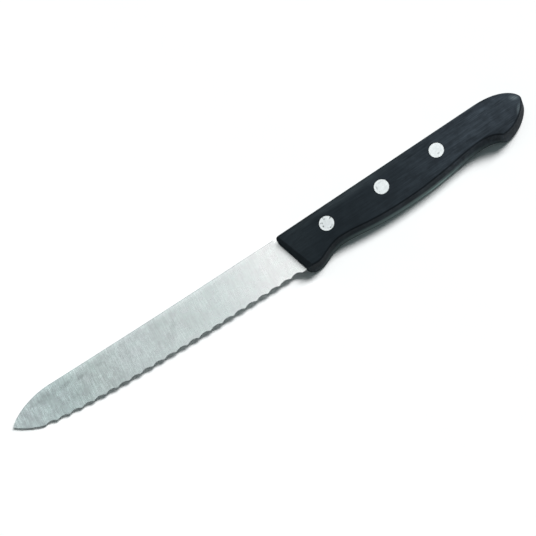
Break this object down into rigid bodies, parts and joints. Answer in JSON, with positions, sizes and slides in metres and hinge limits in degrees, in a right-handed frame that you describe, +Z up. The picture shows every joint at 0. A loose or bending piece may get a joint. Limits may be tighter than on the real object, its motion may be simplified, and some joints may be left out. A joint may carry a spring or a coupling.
{
  "type": "bar knife",
  "caption": "Bar knife with a scalloped serrated steel blade, ground from one side, and a black riveted handle with a finger hollow and a hooked butt.",
  "frame": {"origin": "middle of the knife's length and width, on the surface that it lies on", "axes": "+X from the tip to the butt, +Y from the edge to the spine, +Z up, out of the knife's left side"},
  "size_m": [0.238, 0.0206, 0.0115],
  "materials": {
    "steel": "satin, ground across the blade",
    "black_wood": "black, sanded along the grain",
    "rivet_metal": "ground flush, lightly pitted"
  },
  "bodies": {
    "root": {"blade": "steel", "left_scale": "black_wood", "right_scale": "black_wood", "front_rivet_stud": "rivet_metal", "front_rivet_sleeve": "rivet_metal", "middle_rivet_stud": "rivet_metal", "middle_rivet_sleeve": "rivet_metal", "rear_rivet_stud": "rivet_metal", "rear_rivet_sleeve": "rivet_metal"}
  },
  "joints": []
}
